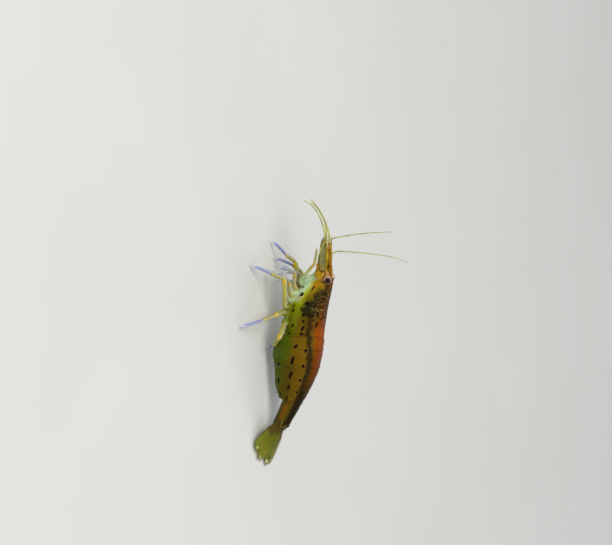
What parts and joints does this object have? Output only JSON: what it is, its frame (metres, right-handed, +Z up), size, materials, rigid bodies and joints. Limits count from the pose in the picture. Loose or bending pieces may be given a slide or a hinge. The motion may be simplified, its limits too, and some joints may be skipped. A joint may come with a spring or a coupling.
{
  "type": "freshwater shrimp",
  "caption": "Life-size freshwater algae shrimp standing on its walking legs, feelers swept forward and tail fan laid on the floor, as a still museum-type model",
  "frame": {"origin": "bottom centre of the bounding box, on the floor under the feet", "axes": "+Z up; the animal's length runs along X with the head towards -X; its left side faces -Y"},
  "size_m": [0.0534, 0.0234, 0.0295],
  "materials": {
    "shell": "smooth translucent shell, olive with an orange-brown back and dark dots",
    "flesh": "soft pale flesh seen through thin shell",
    "leg": "thin translucent shell, yellow at the joints and bluish between them",
    "feeler": "fine pale yellow whip",
    "fin": "thin clear olive blade",
    "eye": "polished dark cornea"
  },
  "bodies": {
    "root": {"abdomen_1": "shell", "abdomen_2": "shell", "abdomen_3": "shell", "abdomen_4": "shell", "abdomen_5": "shell", "abdomen_6": "shell", "antenna_left": "feeler", "antenna_right": "feeler", "antenna_scale_left": "fin", "antenna_scale_right": "fin", "antenna_stem_left": "leg", "antenna_stem_right": "leg", "antennule_inner_left": "feeler", "antennule_inner_right": "feeler", "antennule_outer_left": "feeler", "antennule_outer_right": "feeler", "antennule_stem_left": "leg", "antennule_stem_right": "leg", "carapace": "shell", "eye_left": "eye", "eye_right": "eye", "eyestalk_left": "flesh", "eyestalk_right": "flesh", "head": "flesh", "leg_1_left": "leg", "leg_1_right": "leg", "leg_2_left": "leg", "leg_2_right": "leg", "leg_3_left": "leg", "leg_3_right": "leg", "leg_4_left": "leg", "leg_4_right": "leg", "leg_5_left": "leg", "leg_5_right": "leg", "maxilliped_left": "leg", "maxilliped_right": "leg", "mouthparts": "flesh", "swimmeret_1_left": "fin", "swimmeret_1_right": "fin", "swimmeret_2_left": "fin", "swimmeret_2_right": "fin", "swimmeret_3_left": "fin", "swimmeret_3_right": "fin", "swimmeret_4_left": "fin", "swimmeret_4_right": "fin", "swimmeret_5_left": "fin", "swimmeret_5_right": "fin", "telson": "fin", "thorax_floor": "flesh", "uropod_inner_left": "fin", "uropod_inner_right": "fin", "uropod_outer_left": "fin", "uropod_outer_right": "fin"}
  },
  "joints": []
}
